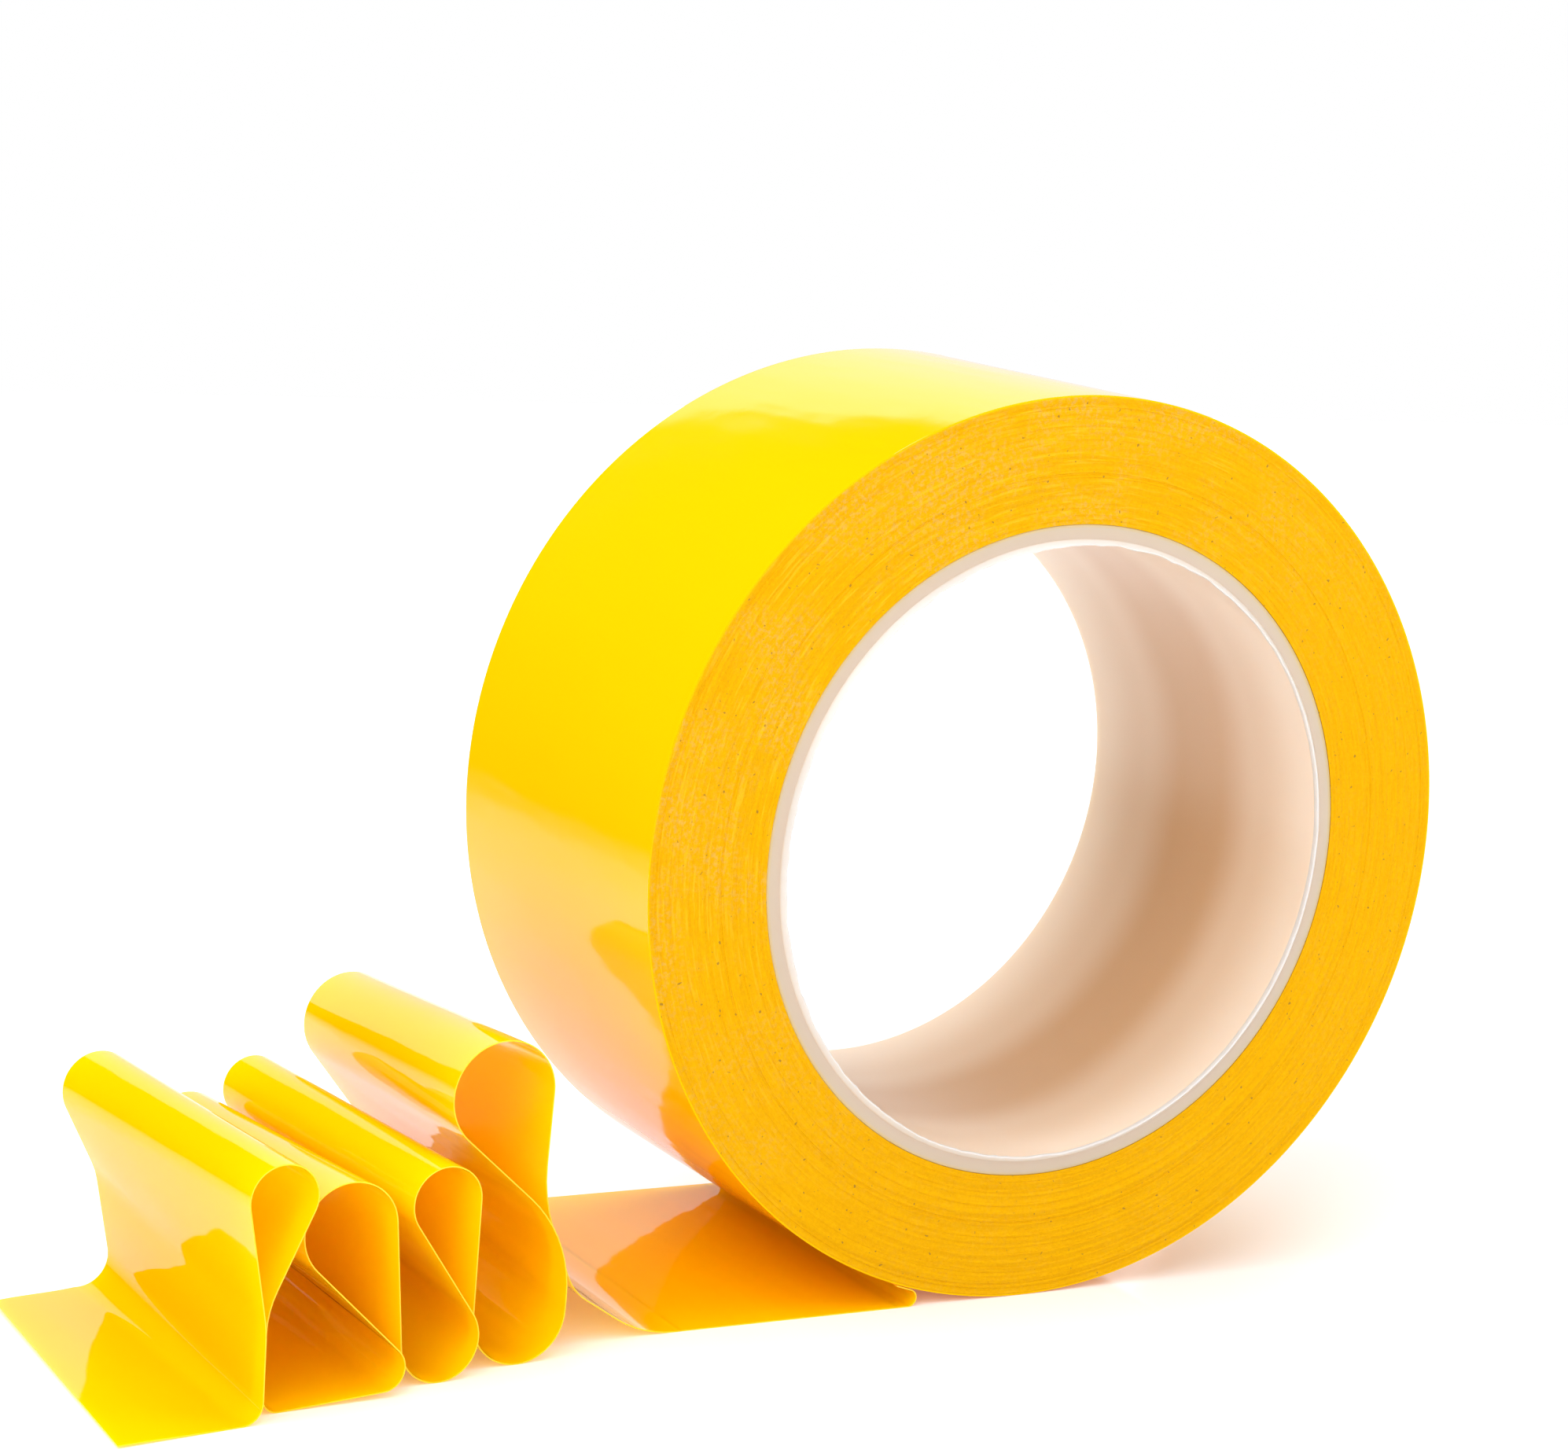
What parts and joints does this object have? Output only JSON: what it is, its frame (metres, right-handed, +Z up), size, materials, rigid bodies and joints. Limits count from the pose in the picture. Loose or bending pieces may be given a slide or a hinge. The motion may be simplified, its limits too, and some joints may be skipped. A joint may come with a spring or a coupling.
{
  "type": "adhesive tape roll",
  "caption": "Roll of film tape standing on edge, its strip peeled off underneath, laid back along the floor, folded into standing pleats and ending in a flat tail.",
  "frame": {"origin": "middle of the core's bore, on the roll's axis", "axes": "+Y along the roll's axis away from the viewer, +Z up, loose tape runs towards -X"},
  "size_m": [0.1767, 0.0667, 0.111],
  "materials": {
    "core_plastic": "translucent satin moulding",
    "tape_film": "glossy film with an adhesive back"
  },
  "bodies": {
    "laid_tape": {"floor_run": "tape_film", "pleat_a": "tape_film", "pleat_b": "tape_film", "pleat_c": "tape_film", "pleat_d": "tape_film"},
    "peel": {"peel_fold": "tape_film"},
    "roll": {"core": "core_plastic", "wound_tape": "tape_film"},
    "tail_flap": {"tail": "tape_film"}
  },
  "joints": [
    {"name": "roll_travel", "type": "slide", "parent": "laid_tape", "child": "peel", "axis": [1, 0, 0], "range_m": [0, 0.15], "deforming": ["floor_run"]},
    {"name": "roll_spin", "type": "hinge", "parent": "peel", "child": "roll", "pos_m": [0, 0, 0], "axis": [0, -1, 0], "range_deg": [0, 155]},
    {"name": "tail_lift", "type": "hinge", "parent": "laid_tape", "child": "tail_flap", "pos_m": [-0.10715, 0, -0.05543], "axis": [0, 1, 0], "range_deg": [0, 75]}
  ],
  "couplings": [
    {"joint": "roll_spin", "follows": "roll_travel", "rad_per_m": 18.018}
  ]
}
